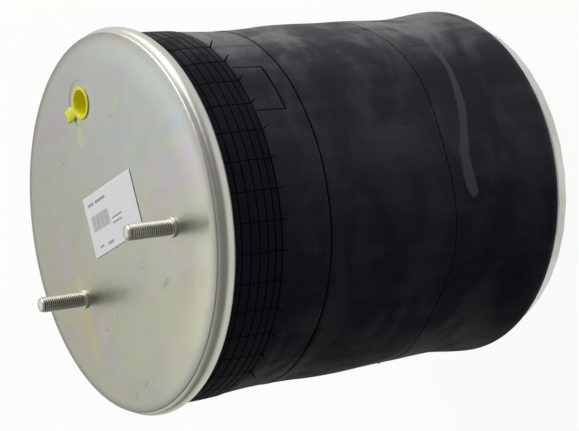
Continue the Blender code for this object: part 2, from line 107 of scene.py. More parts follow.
# Studs
STUDS = {"mounting_stud_1": (-79.4, -32.9), "mounting_stud_2": (79.4, -32.9)}
STUD_R = 6.0
STUD_ROOT_R = 5.05
STUD_PITCH = 1.75
STUD_COLUMNS = 48
STUD_TIP = FACE_Z + 39.0
TIP_R = 5.5
TIP_DOME = 1.7
TIP_LIFT = 0.35
COLLAR_R = 7.6
COLLAR_HEIGHT = 2.2
COLLAR_GAP = 0.05
STUD_HEAD_R = 11.0
STUD_HEAD_TOP = FACE_Z - PLATE_STEEL - 0.3
STUD_HEAD_BOTTOM = FACE_Z - PLATE_STEEL - 4.3
# Thread: shares of its pitch, rows for each turn, where it starts and ends, and how it fades at both ends
THREAD_ROOT_FLAT = 0.12
THREAD_FLANK = 0.74
THREAD_ROWS = 12
THREAD_FOOT = 0.3
THREAD_TOP = STUD_TIP - 1.6
THREAD_FADE = 1.2
THREAD_END_SHARE = 0.25
LEAD_CUT = 0.8 * (STUD_R - 5.2)
LEAD_HEIGHT = 1.1
THREAD_TURN = 0.15
THREAD_TURN_STEP = 0.4

# Sticker
LABEL_CENTRE = (0.2, 7.3)
LABEL_TURN = -4.5
LABEL_SIZE = (81.5, 47.7)
LABEL_Z = (FACE_Z + 0.3, FACE_Z + 0.5)
LABEL_EDGE = 0.6
LABEL_CORNER = (0.9955, 0.993)
# Plain grey bars that stand for lines of print, as (left, right, low, high)
PRINT_BARS = [(-34.5, -25.0, 15.3, 17.7), (-22.5, -5.0, 15.3, 17.7), (-1.5, 15.5, -2.9, -1.5),
              (-1.8, 14.0, -6.8, -5.4), (-29.6, -23.4, -18.2, -16.6), (-16.4, -6.6, -19.3, -17.2)]
# Plain barred block: where it starts, its widths, the gap between them, and its low and high edges
BLOCK_LEFT = -33.6
BLOCK_WIDTHS = [1.3, 0.7, 1.9, 0.7, 1.2, 2.1, 0.7, 1.4, 0.8, 1.9, 0.7, 1.3, 2.0, 0.8, 1.4]
BLOCK_GAP = 0.65
BLOCK_EDGES = (-4.8, 7.4)

# Bellows
WALL = 5.5
LOBE_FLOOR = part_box("bellows")[0].z / MM
LOBE_BEND = 13.5
LOBE_CENTRE = (128.5, LOBE_FLOOR + LOBE_BEND)
NECK_Z = FACE_Z - 20.5
OUTER_WALL = [(140.4, NECK_Z), (141.8, 298.0), (141.7, 287.0), (141.2, 275.0), (140.0, 256.0),
              (138.9, 231.0), (139.3, 206.0), (140.3, 185.0), (140.4, 166.0), (139.6, 138.0),
              (138.9, 104.0), (138.1, 86.0), (137.8, 72.0), (139.4, 50.0), (141.1, 35.5),
              (142.0, LOBE_CENTRE[1])]
TREAD_GROOVES = [310.0, 302.6, 295.4, 288.2, 281.8]
TREAD_END = 276.0
TREAD_STEP = 0.6
RIB_SPACING = 9.0
RIB_START = 4.8
MOULD_LINE = 231.2
PARTING_LINE = 118.9
FRAME_ANGLES = (11.4, 29.1)
FRAME_Z = (247.4, 273.1)
FRAME_COLUMNS = (-0.4, -0.2, -0.1, 0.0, 0.1, 0.2, 0.4)
ROW_STEP = 2.5
GROOVE_ROWS = (-1.4, -0.9, -0.55, -0.25, 0.0, 0.25, 0.55, 0.9, 1.4)
RIB_COUNT = 40
RIB_COLUMNS = (-0.42, -0.24, -0.12, 0.0, 0.12, 0.24, 0.42, 1.3, 2.4, 3.5, 4.6, 5.7, 6.8, 7.8)
# Where a point counts as on the outside of the bellows, at the tread and at the smear
TREAD_OUTSIDE_R = 139.0
SMEAR_OUTSIDE_R = 136.0

# Grooves moulded into the rubber: half width and depth
TREAD_GROOVE = (0.75, 0.8)
TREAD_END_GROOVE = (1.2, 0.9)
RIB_GROOVE = (0.62, 0.7)
MOULD_GROOVE = (1.15, 1.0)
PARTING_GROOVE = (0.8, 0.7)
FRAME_SIDE_GROOVE = (0.7, 0.8)
FRAME_FOOT_GROOVE = (1.2, 1.0)
# Ridge under the mould line: distance below it, half width and height
MOULD_RIDGE = (4.2, 3.6, 0.35)
# How the parting line wanders: height, waves round the bellows and the angle of a crest
PARTING_WAVES = [(2.4, 6, -5), (1.3, 2, 80)]
# The wall's rows follow that line up to this far from it, and this many dots round the bellows break it up
PARTING_REACH = 25.0
PARTING_DOTS = 96
# Slow dents of the soft wall: height, waves round it, radians for each millimetre upwards, and phase
WALL_DENTS = [(0.20, 5, 0.021, 0.0), (0.14, 9, -0.047, 1.3), (0.10, 14, 0.09, 0.0)]

# Upper bead, inside the plate's rolled rim, and the inner wall with the lower bead on the piston
BEAD_R = 4.2
BEAD_FOOT = [(138.4, FACE_Z - 17.4), (138.5, FACE_Z - 14.2)]
BEAD_INSIDE = [(136.8, FACE_Z - 3.3), (131.2, FACE_Z - 3.3), (130.6, FACE_Z - 4.4), (130.6, FACE_Z - 16.4),
               (134.8, FACE_Z - 20.6)]
SHOULDER = (89.7, 180.0)
LOWER_BEAD = [(86.0, 213.0), (84.0, 216.3), (82.0, 216.0), (80.3, 213.5), (80.3, 207.0), (81.6, 205.3)]

# Vent nibs at the foot of the rib lines, and the small ones on the parting line
NIB_LENGTH = (6.4, 8.4)
NIB_LEAN = (0.4, 1.6)
NIB_LEAN_LENGTH = 7.5
NIB_THICK = 1.4
NIB_ROOT_R = 141.0
NIB_SIDES = 6
# Rings of a nib: share of its length and share of its thickness
NIB_RINGS = [(-0.15, 1.25), (0.0, 1.1), (0.35, 0.95), (0.7, 0.8), (1.0, 0.45)]
# From the first to the second of these angles, and from the third to the fourth, the nibs are short
SHORT_NIB_ANGLES = (46.0, 112.0, 232.0, 281.0)
SHORT_NIB = 0.5
NUB_LENGTH = (0.6, 1.0)
NUB_LEAN = 0.1
NUB_THICK = 1.5
NUB_ROOT_R = 138.9
NUB_SPACING = 15.0
NUB_SPREAD = 3.0

# Dried smear on the rubber: angle, height and half width along its middle, and the radius that it lies on
SMEAR = [(36.7, 80.6, 2.6), (28.5, 81.7, 3.4), (20.9, 82.9, 2.6), (13.5, 86.5, 3.2), (5.8, 90.3, 4.0),
         (-1.4, 96.0, 3.6), (-9.0, 101.8, 4.8), (-15.5, 101.3, 5.2), (-19.4, 99.3, 5.4), (-21.8, 97.5, 4.2)]
SMEAR_R = 139.0
SMEAR_SOFT = 1.2

# Colours and places of the plating: distances from the axis and along X and Y are in metres
SPOT = (0.16, 0.15, 0.14)
SCUFF = (0.36, 0.34, 0.28)
RIM_ZINC = (0.545, 0.530, 0.490)
# Painted shade in the thread roots of the studs
THREAD_ROOT_SHADE = (0.20, 0.195, 0.16)
# Painted light on the plate: darker on the -X side and lighter on the +X side, over this span along X
LIGHT_ACROSS_SPAN = (-0.15, 0.13)
# Painted reflection tint on the plate: yellower towards -Y and bluer towards +Y, over this span
REFLECTION_TINT_SPAN = (-0.11, 0.11)
# Painted highlight near the plate's edge on its +X side: distance from the axis, and span along X
HIGHLIGHT_REACH = (0.104, 0.137)
HIGHLIGHT_SIDE = (-0.02, 0.10)
RIM_TINT_REACH = (0.133, 0.143)
RIM_ROUGH_REACH = (0.134, 0.143)
# Marks on the plate: centre, half size, turn, colour and strength
PLATE_MARKS = [
    ((-15.5, 78.0), (14.0, 7.0), 70, (0.62, 0.62, 0.40), 0.55),
    ((-12.0, 86.0), (6.0, 3.0), 70, (0.64, 0.66, 0.30), 0.50),
    ((50.5, 79.0), (15.0, 5.5), 26, (0.59, 0.60, 0.38), 0.60),
    ((38.5, 72.5), (4.0, 1.4), 20, (0.40, 0.40, 0.37), 0.55),
    ((117.0, 16.0), (14.0, 9.0), 80, (0.60, 0.60, 0.47), 0.30),
    ((-53.0, 71.2), (1.6, 1.2), 0, SPOT, 0.6),
    ((34.5, 75.0), (1.5, 1.1), 0, (0.18, 0.16, 0.15), 0.6),
    ((-36.0, -62.1), (1.3, 1.3), 0, SPOT, 0.6),
    ((-55.8, -67.1), (1.4, 1.0), 0, SPOT, 0.6),
    ((-21.5, -122.3), (7.0, 2.0), 12, SCUFF, 0.6),
    ((-42.1, -126.4), (6.0, 1.8), 20, SCUFF, 0.5),
    ((-84.5, -46.0), (22.0, 11.0), 93, (0.60, 0.50, 0.26), 0.60),
    ((-83.0, -70.0), (22.0, 11.0), 97, (0.58, 0.50, 0.34), 0.45),
    ((-82.0, -21.0), (12.0, 9.0), 20, (0.60, 0.57, 0.30), 0.60),
    ((-66.0, -66.0), (24.0, 13.0), 95, (0.54, 0.47, 0.50), 0.50),
    ((-58.0, -98.0), (24.0, 20.0), 97, (0.47, 0.47, 0.52), 0.50),
    ((-90.0, 8.0), (32.0, 17.0), 85, (0.53, 0.46, 0.48), 0.50),
    ((32.0, -114.0), (24.0, 12.0), 20, (0.58, 0.52, 0.44), 0.45),
    ((48.0, -65.2), (10.0, 3.2), 13, (0.34, 0.33, 0.28), 0.60),
    ((-58.1, -66.1), (3.0, 2.2), 0, (0.36, 0.31, 0.27), 0.55),
    ((20.2, -43.4), (2.0, 1.4), 0, (0.22, 0.21, 0.19), 0.50),
    (INLET, (19.0, 19.0), 0, (0.62, 0.62, 0.36), 0.40),
]

# Colours of the rubber, and its dusty bloom with painted light, lighter towards the +Y side and darker
# towards the -Y side, as (share of the way from the -Y side to the +Y side, colour there)
DUST_AND_LIGHT_HALF = 0.15
UPPER_SIDE = (0.19, 0.26)
TREAD_BLACK = (0.0150, 0.0120, 0.0170)
# Near-black for painted shade in the grooves, which also colours the vent nibs
GROOVE_SHADE_AND_NIB_BLACK = (0.0020, 0.0017, 0.0026)
SMEAR_GREY = (0.090, 0.086, 0.098)
RUBBER_DUST_AND_LIGHT = [(0.08, (0.0100, 0.0085, 0.0135)), (0.34, (0.0270, 0.0250, 0.0320)),
                (0.50, (0.0420, 0.0405, 0.0490)), (0.66, (0.0345, 0.0335, 0.0405)),
                (0.77, (0.0600, 0.0590, 0.0660)), (0.86, (0.0950, 0.0940, 0.0990)),
                (0.97, (0.0460, 0.0450, 0.0500))]

# Colours of the plug and the sticker
PLUG_PALE = (0.84, 0.83, 0.045)
PLUG_DEEP = (0.78, 0.75, 0.035)
# Painted shade inside the plug's cup: a deeper, darker yellow
PLUG_CUP_SHADE = (0.80, 0.74, 0.006)
PAPER_WHITE = (0.92, 0.92, 0.93)
INK_GREY = (0.42, 0.43, 0.46)

# Floor and world: sizes in metres
FLOOR_HALF = 12.0
FLOOR_DROP = 0.0005
FLOOR_GREY = 0.8
FLOOR_GLOW = 1.0
FLOOR_GLOW_SHARE = 0.94
WORLD_GREY = 0.98
WORLD_LIGHT = 0.26

# Lamps: direction, distance, size and power, in metres and watts
LAMP_TARGET = (0.0, 0.0, 0.2)
LAMPS = {"key": ((0.1, 0.85, 0.6), 2.0, (2.2, 2.2), 36), "sheen": ((-0.70, 0.20, 0.68), 2.0, (1.5, 1.5), 5.0)}

# Camera: place in metres, directions and focal length
CAMERA_AT = (1.3494, -0.4249, 1.0943)
CAMERA_RIGHT = (0.4773, -0.2835, -0.8318)
CAMERA_UP = (0.3586, 0.9270, -0.1102)
CAMERA_LENS = 131.7
CAMERA_FAR = 100

PARTS = bpy.data.collections.new("air_bellows_looks")
bpy.context.scene.collection.children.link(PARTS)


# Materials

class Finish:
    """One material, built round its Principled shader."""

    def __init__(self, name, **values):
        self.material = bpy.data.materials.new(name)
        self.material.use_nodes = True
        self.tree = self.material.node_tree
        self.shader = self.tree.nodes["Principled BSDF"]
        for socket, value in values.items():
            self.shader.inputs[socket.replace("_", " ").title().replace("Ior", "IOR")].default_value = value

    def node(self, kind, inputs=None, **settings):
        made = self.tree.nodes.new(kind)
        for key, value in settings.items():
            setattr(made, key, value)
        for key, value in (inputs or {}).items():
            self.feed(made.inputs[key], value)
        return made

    def feed(self, socket, value):
        if isinstance(value, bpy.types.NodeSocket):
            self.tree.links.new(value, socket)
        else:
            socket.default_value = value

    def place(self):
        """Object coordinates, which equal the frame's at rest."""
        return self.node("ShaderNodeTexCoord").outputs["Object"]

    def stored(self, name, output="Fac"):
        return self.node("ShaderNodeAttribute", attribute_name=name).outputs[output]

    def stretch(self, vector, scale):
        made = self.node("ShaderNodeMapping", {"Vector": vector})
        made.inputs["Scale"].default_value = scale
        return made.outputs[0]

    def noise(self, vector, scale, detail=4.0, roughness=0.55, distortion=0.0):
        made = self.node("ShaderNodeTexNoise", {"Vector": vector, "Scale": scale, "Detail": detail,
                                                "Roughness": roughness, "Distortion": distortion})
        return made.outputs["Fac"]

    def ramp(self, factor, stops):
        made = self.node("ShaderNodeValToRGB", {"Fac": factor})
        elements = made.color_ramp.elements
        while len(elements) < len(stops):
            elements.new(0.5)
        for element, (at, colour) in zip(elements, stops):
            element.position = at
            element.color = (*colour, 1) if len(colour) == 3 else colour
        return made.outputs["Color"]

    def span(self, value, low, high, to_low=0.0, to_high=1.0):
        made = self.node("ShaderNodeMapRange", {"Value": value, "From Min": low, "From Max": high,
                                                "To Min": to_low, "To Max": to_high})
        made.interpolation_type = "SMOOTHSTEP"
        return made.outputs["Result"]

    def math(self, operation, first, second=0.0):
        made = self.node("ShaderNodeMath", {0: first, 1: second}, operation=operation)
        return made.outputs[0]

    def mix(self, factor, first, second, blend="MIX"):
        made = self.node("ShaderNodeMix", data_type="RGBA", blend_type=blend)
        self.feed(made.inputs[0], factor)
        for index, value in ((6, first), (7, second)):
            colour = value if isinstance(value, bpy.types.NodeSocket) or len(value) == 4 else (*value, 1)
            self.feed(made.inputs[index], colour)
        return made.outputs[2]

    def part(self, vector, axis):
        return self.node("ShaderNodeSeparateXYZ", {0: vector}).outputs[axis]

    def bump(self, height, distance, strength=1.0, after=None):
        made = self.node("ShaderNodeBump", {"Height": height, "Distance": distance, "Strength": strength})
        if after is not None:
            self.feed(made.inputs["Normal"], after)
        return made.outputs["Normal"]

    def wire(self, **sockets):
        for socket, value in sockets.items():
            self.feed(self.shader.inputs[socket.replace("_", " ")], value)
        return self.material


def patch(finish, place, centre, half_size, turn=0.0, soft=0.3):
    """An oval patch on the plate's face: 1 in its middle, 0 past its edge, in millimetres and degrees."""
    local = finish.node("ShaderNodeMapping", {"Vector": place}, vector_type="TEXTURE")
    local.inputs["Location"].default_value = (centre[0] * MM, centre[1] * MM, FACE_Z * MM)
    local.inputs["Rotation"].default_value = (0.0, 0.0, math.radians(turn))
    local.inputs["Scale"].default_value = (half_size[0] * MM, half_size[1] * MM, 1.0)
    away = finish.node("ShaderNodeVectorMath", {0: local.outputs[0]}, operation="LENGTH")
    return finish.span(away.outputs["Value"], soft, 1.0, 1.0, 0.0)


def zinc_plate():
    """Yellow-green zinc plating with faint pink, violet and blue blotches and a few stains; painted light
    darkens -X and lightens +X, a painted reflection tint runs from yellow at -Y to blue at +Y, and a painted
    highlight lies near the edge on the +X side.
    """
    made = Finish("zinc_plating", metallic=1.0)
    place = made.place()
    broad = made.noise(made.stretch(place, (8.0, 14.0, 8.0)), 1.0, 3.0, 0.6, 0.6)
    fine = made.noise(made.stretch(place, (26.0, 46.0, 30.0)), 1.0, 5.0, 0.65, 0.3)
    hue = made.ramp(broad, [(0.30, (0.490, 0.510, 0.520)), (0.42, (0.515, 0.540, 0.480)),
                            (0.52, (0.530, 0.540, 0.465)), (0.62, (0.545, 0.515, 0.510)),
                            (0.74, (0.500, 0.515, 0.545))])
    drift = made.ramp(fine, [(0.32, (0.90, 0.93, 0.97)), (0.50, (1.0, 1.0, 0.97)), (0.68, (1.0, 0.96, 0.97))])
    colour = made.mix(0.75, hue, drift, "MULTIPLY")
    side, height = made.part(place, "X"), made.part(place, "Y")
    # Painted light: the plate darkens towards -X and lightens towards +X
    painted_light_across = made.mix(made.span(side, *LIGHT_ACROSS_SPAN), (0.91, 0.89, 0.89), (1.02, 1.03, 1.02))
    colour = made.mix(1.0, colour, painted_light_across, "MULTIPLY")
    # Painted reflection: the plate turns yellower towards -Y and bluer towards +Y
    painted_reflection_tint = made.span(made.math("ADD", height, made.math("MULTIPLY", side, 0.35)), *REFLECTION_TINT_SPAN)
    colour = made.mix(1.0, colour, made.mix(painted_reflection_tint, (1.01, 1.00, 0.88), (0.99, 1.0, 1.08)), "MULTIPLY")
    for centre, half_size, turn, tint, amount in PLATE_MARKS:
        share = made.math("MULTIPLY", patch(made, place, centre, half_size, turn), amount)
        colour = made.mix(share, colour, tint)
    flat = made.stretch(place, (1.0, 1.0, 0.0))
    reach = made.node("ShaderNodeVectorMath", {0: flat}, operation="LENGTH").outputs["Value"]
    # Painted highlight: the face is made paler near its edge on the +X side
    painted_edge_highlight = made.math("MULTIPLY", made.span(reach, *HIGHLIGHT_REACH), made.span(side, *HIGHLIGHT_SIDE))
    colour = made.mix(painted_edge_highlight, colour, made.mix(1.0, colour, (1.20, 1.20, 1.18), "MULTIPLY"))
    colour = made.mix(made.span(reach, *RIM_TINT_REACH, 0.0, 0.75), colour, RIM_ZINC)
    grain = made.noise(place, 1400.0, 2.0, 0.5)
    rolled = made.noise(made.stretch(place, (60.0, 1800.0, 60.0)), 1.0, 3.0, 0.6)
    rough = made.span(fine, 0.25, 0.75, 0.31, 0.40)
    normal = made.bump(grain, 0.00003, 0.35)
    normal = made.bump(rolled, 0.00002, 0.25, normal)
    rough = made.math("ADD", rough, made.span(reach, *RIM_ROUGH_REACH, 0.0, 0.04))
    return made.wire(Base_Color=colour, Roughness=rough, Normal=normal)


def plated(name, tint, rough=(0.22, 0.36), scale=60.0):
    """Bright zinc on smaller steel pieces, with painted shade in the studs' thread roots."""
    made = Finish(name, metallic=1.0)
    place = made.place()
    cloud = made.noise(place, scale, 4.0, 0.6)
    darker = tuple(c * 0.82 for c in tint)
    colour = made.mix(made.span(cloud, 0.35, 0.7), tint, darker)
    # Painted shade: the thread roots, read from the root attribute, are darkened
    colour = made.mix(made.stored("root"), colour, THREAD_ROOT_SHADE)
    grain = made.noise(place, 1600.0, 2.0, 0.5)
    return made.wire(Base_Color=colour, Roughness=made.span(cloud, 0.3, 0.7, *rough),
                     Normal=made.bump(grain, 0.00003, 0.3))


def rolled_steel():
    made = Finish("rolled_steel", metallic=1.0)
    place = made.place()
    cloud = made.noise(place, 40.0, 5.0, 0.65)
    colour = made.ramp(cloud, [(0.3, (0.22, 0.225, 0.23)), (0.55, (0.33, 0.335, 0.34)),
                               (0.75, (0.27, 0.24, 0.21))])
    return made.wire(Base_Color=colour, Roughness=made.span(cloud, 0.3, 0.7, 0.38, 0.55),
                     Normal=made.bump(made.noise(place, 900.0, 3.0), 0.00006, 0.4))


def bellows_rubber():
    """Moulded rubber with a dusty bloom, fine wiping streaks, a dried smear, painted light that lightens the
    +Y side and darkens the -Y side, and painted shade in the grooves.
    """
    made = Finish("bellows_rubber", specular_ior_level=0.01, sheen_roughness=0.42)
    place = made.stored("rest", "Vector")
    bloom = made.noise(made.stretch(place, (9.0, 9.0, 16.0)), 1.0, 5.0, 0.6, 1.1)
    rings = made.noise(made.stretch(place, (10.0, 10.0, 420.0)), 1.0, 4.0, 0.6)
    strokes = made.noise(made.stretch(place, (70.0, 70.0, 12.0)), 1.0, 5.0, 0.65, 0.4)
    speck = made.noise(place, 700.0, 3.0, 0.6)
    dust = made.span(made.math("ADD", bloom, made.math("MULTIPLY", strokes, 0.35)), 0.52, 0.88)
    # Partly dust settled on the +Y side and partly painted light: the ramp over Y lightens the +Y side and
    # darkens the -Y side, and upper raises the dust's contrast there
    side = made.math("ADD", made.part(place, "Y"), DUST_AND_LIGHT_HALF)
    dust_and_painted_light = made.ramp(made.math("MULTIPLY", side, 0.5 / DUST_AND_LIGHT_HALF), RUBBER_DUST_AND_LIGHT)
    upper = made.span(side, *UPPER_SIDE)
    clean = made.mix(1.0, dust_and_painted_light, made.mix(upper, (0.80, 0.77, 0.86), (0.64, 0.63, 0.67)), "MULTIPLY")
    dusty = made.mix(1.0, dust_and_painted_light, made.mix(upper, (1.24, 1.22, 1.24), (1.45, 1.43, 1.42)), "MULTIPLY")
    colour = made.mix(dust, clean, dusty)
    colour = made.mix(made.span(rings, 0.55, 0.8, 0.0, 0.35), colour, dusty)
    colour = made.mix(made.math("MULTIPLY", made.stored("tread"), 0.85), colour, TREAD_BLACK)
    # Painted shade: grooves turn nearly black, and the nibs take the same near-black
    colour = made.mix(made.stored("groove"), colour, GROOVE_SHADE_AND_NIB_BLACK)
    smeared = made.stored("smear")
    ragged = made.math("MULTIPLY", made.math("SUBTRACT", speck, 0.5), 0.3)
    edge = made.math("ADD", smeared, ragged)
    colour = made.mix(made.span(edge, 0.35, 0.75, 0.0, 0.8), colour, SMEAR_GREY)
    rough = made.span(bloom, 0.3, 0.75, 0.60, 0.75)
    fuzz = made.math("MULTIPLY", made.span(dust, 0.0, 1.0, 0.07, 0.30), made.span(upper, 0.0, 1.0, 1.0, 1.8))
    sheen = made.math("MULTIPLY", fuzz,
                      made.math("SUBTRACT", 1.0, made.math("MULTIPLY", made.stored("tread"), 0.6)))
    height = made.math("ADD", speck, made.math("MULTIPLY", rings, 0.6))
    return made.wire(Base_Color=colour, Roughness=rough, Sheen_Weight=sheen,
                     Normal=made.bump(height, 0.00008, 0.5))


def plain_rubber():
    made = Finish("bump_stop_rubber", specular_ior_level=0.35)
    place = made.place()
    cloud = made.noise(place, 30.0, 5.0)
    colour = made.mix(made.span(cloud, 0.35, 0.7), (0.02, 0.02, 0.021), (0.038, 0.038, 0.04))
    return made.wire(Base_Color=colour, Roughness=made.span(cloud, 0.3, 0.7, 0.6, 0.75),
                     Normal=made.bump(made.noise(place, 800.0, 3.0), 0.00008, 0.4))


def yellow_plastic():
    made = Finish("yellow_plastic", specular_ior_level=0.40, subsurface_weight=0.12, subsurface_scale=0.002)
    place = made.place()
    cloud = made.noise(place, 90.0, 3.0)
    colour = made.mix(made.span(cloud, 0.3, 0.7), PLUG_PALE, PLUG_DEEP)
    # Painted shade: the inside of the cup turns a deeper, darker yellow with depth
    colour = made.mix(made.stored("inside"), colour, PLUG_CUP_SHADE)
    return made.wire(Base_Color=colour, Roughness=made.span(cloud, 0.3, 0.7, 0.34, 0.42),
                     Normal=made.bump(made.noise(place, 1500.0, 2.0), 0.00002, 0.3))


def paper(name, colour):
    made = Finish(name, specular_ior_level=0.3)
    place = made.place()
    fibre = made.noise(place, 1200.0, 3.0)
    shade = tuple(c * 0.94 for c in colour)
    return made.wire(Base_Color=made.mix(made.span(fibre, 0.3, 0.7), colour, shade),
                     Roughness=made.span(fibre, 0.3, 0.7, 0.42, 0.52),
                     Normal=made.bump(fibre, 0.00001, 0.3))


ZINC = zinc_plate()
STUD_ZINC = plated("stud_zinc", (0.78, 0.77, 0.68), (0.28, 0.38), 120.0)
PISTON_ZINC = plated("piston_zinc", (0.62, 0.63, 0.58), (0.26, 0.38), 14.0)
STEEL = rolled_steel()
RUBBER = bellows_rubber()
STOP_RUBBER = plain_rubber()
YELLOW = yellow_plastic()
PAPER = paper("sticker_paper", PAPER_WHITE)
INK = paper("sticker_ink", INK_GREY)


# Mesh helpers

def arc(centre, radius, start, end, steps):
    """Points of an arc, with angles in degrees."""
    turns = np.radians(np.linspace(start, end, steps + 1))
    return [(centre[0] + radius * math.cos(t), centre[1] + radius * math.sin(t)) for t in turns]


def rounded(corners, step=10.0):
    """An outline of (r, z) or (r, z, fillet) corners, with the fillets turned into arcs."""
    points = []
    for i, corner in enumerate(corners):
        here = np.array(corner[:2], float)
        fillet = corner[2] if len(corner) > 2 else 0.0
        before = np.array(corners[i - 1][:2], float) - here
        after = np.array(corners[(i + 1) % len(corners)][:2], float) - here
        if not fillet:
            points.append(tuple(here))
            continue
        before_unit = before / np.linalg.norm(before)
        after_unit = after / np.linalg.norm(after)
        half = math.acos(float(np.clip(before_unit @ after_unit, -1, 1))) / 2
        cut = min(fillet / math.tan(half), 0.49 * np.linalg.norm(before), 0.49 * np.linalg.norm(after))
        start, end = here + before_unit * cut, here + after_unit * cut
        count = max(2, int(math.degrees(math.pi - 2 * half) / step))
        for t in np.linspace(0, 1, count + 1):
            points.append(tuple((1 - t) ** 2 * start + 2 * t * (1 - t) * here + t * t * end))
    return points


def finish_mesh(name, vertices, faces, materials, sharp=32.0):
    mesh = bpy.data.meshes.new(name)
    mesh.from_pydata([tuple(v) for v in vertices], [], faces)
    mesh.validate()
    piece = bpy.data.objects.new(name, mesh)
    PARTS.objects.link(piece)
    for material in materials:
        mesh.materials.append(material)
    work = bmesh.new()
    work.from_mesh(mesh)
    bmesh.ops.remove_doubles(work, verts=work.verts, dist=1e-7)
    work.to_mesh(mesh)
    work.free()
    mesh.shade_smooth()
    mesh.set_sharp_from_angle(angle=math.radians(sharp))
    return piece


def ring_faces(rows, columns, close_rows):
    """Quads of a grid that closes round its columns, and round its rows too where asked."""
    faces = []
    for row in range(rows if close_rows else rows - 1):
        below = (row + 1) % rows
        for column in range(columns):
            beside = (column + 1) % columns
            faces.append((row * columns + column, below * columns + column,
                          below * columns + beside, row * columns + beside))
    return faces


def store(mesh, name, kind, values):
    """Keep one value or vector for each point of a mesh, for its material to read."""
    layer = mesh.attributes.new(name, kind, "POINT")
    layer.data.foreach_set("vector" if kind == "FLOAT_VECTOR" else "value",
                           np.asarray(values, np.float32).ravel())


def turned(name, outline, material, steps=128, centre=(0.0, 0.0), sharp=32.0):
    """A closed turned solid."""
    turns = np.radians(np.arange(steps) * 360.0 / steps)
    radii = np.array([p[0] for p in outline])[:, None] * np.ones(steps)
    heights = np.array([p[1] for p in outline])[:, None] * np.ones(steps)
    x = centre[0] + radii * np.cos(turns)
    y = centre[1] + radii * np.sin(turns)
    vertices = np.stack([x, y, heights], -1).reshape(-1, 3) * MM
    return finish_mesh(name, vertices, ring_faces(len(outline), steps, True), [material], sharp)


def dress(piece, body, slot_name, *nodes):
    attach(piece, body)
    if nodes:
        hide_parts(*nodes)
    return piece


# Bead plate

def plate_profile():
    """Rim of the plate outside its face: fall, edge, side band and crimped roll, out and back inside."""
    fall = math.radians(FALL_END)
    edge = (FALL_CENTRE[0] + (FALL_R - EDGE_R) * math.cos(fall),
            FALL_CENTRE[1] + (FALL_R - EDGE_R) * math.sin(fall))
    return (arc(FALL_CENTRE, FALL_R, 90, FALL_END, 12)[1:] + arc(edge, EDGE_R, FALL_END, EDGE_END, 8)[1:]
            + arc(ROLL_CENTRE, ROLL_R, ROLL_START, ROLL_END, 44)
            + arc(ROLL_CENTRE, ROLL_R - PLATE_STEEL, ROLL_END, ROLL_LINING_END, 20)
            + arc(FALL_CENTRE, FALL_R - PLATE_STEEL, FALL_END, 90, 4))


def boss(distance):
    """Rise of the pressed seat round the inlet."""
    outer = np.clip((BOSS_R + BOSS_SOFT - distance) / (2 * BOSS_SOFT), 0, 1)
    return BOSS_RISE * outer * outer * (3 - 2 * outer)


def make_plate():
    """Rays run from the inlet's hole to the edge of the face, and each goes on down the rim."""
    turns = np.radians(np.arange(PLATE_COLUMNS) * 360.0 / PLATE_COLUMNS)
    centre = np.array(INLET)
    edge = np.stack([np.cos(turns), np.sin(turns)], -1) * FACE_R
    reach = np.linalg.norm(edge - centre, axis=1)
    away = (edge - centre) / reach[:, None]
    rows = []
    for distance in BOSS_RINGS:
        flat = centre + away * distance
        rows.append(np.column_stack([flat, np.full(PLATE_COLUMNS, FACE_Z + boss(distance))]))
    for share in np.linspace(0, 1, FACE_ROWS)[1:]:
        distance = BOSS_RINGS[-1] + (reach - BOSS_RINGS[-1]) * share
        flat = centre + away * distance[:, None]
        rows.append(np.column_stack([flat, np.full(PLATE_COLUMNS, FACE_Z)]))
    for radius, height in plate_profile():
        rows.append(np.column_stack([np.cos(turns) * radius, np.sin(turns) * radius,
                                     np.full(PLATE_COLUMNS, height)]))
    for share in (0.5, 0.0):
        flat = centre + away * (INLET_HOLE_R + (reach - INLET_HOLE_R) * share)[:, None]
        rows.append(np.column_stack([flat, np.full(PLATE_COLUMNS, FACE_Z - PLATE_STEEL)]))
    vertices = np.concatenate(rows) * MM
    piece = finish_mesh("bead_plate_skin", vertices, ring_faces(len(rows), PLATE_COLUMNS, True), [ZINC], 32)
    return dress(piece, "plate_assembly", "zinc_plated_steel", "bead_plate")


# Studs

def thread_radius(height, turn, root, crest, pitch):
    """Radius of a vee thread with small flats, at a height and an angle in turns."""
    wave = np.abs(np.mod(height / pitch - turn, 1.0) * 2 - 1)
    return root + (crest - root) * np.clip((wave - THREAD_ROOT_FLAT) / THREAD_FLANK, 0, 1)


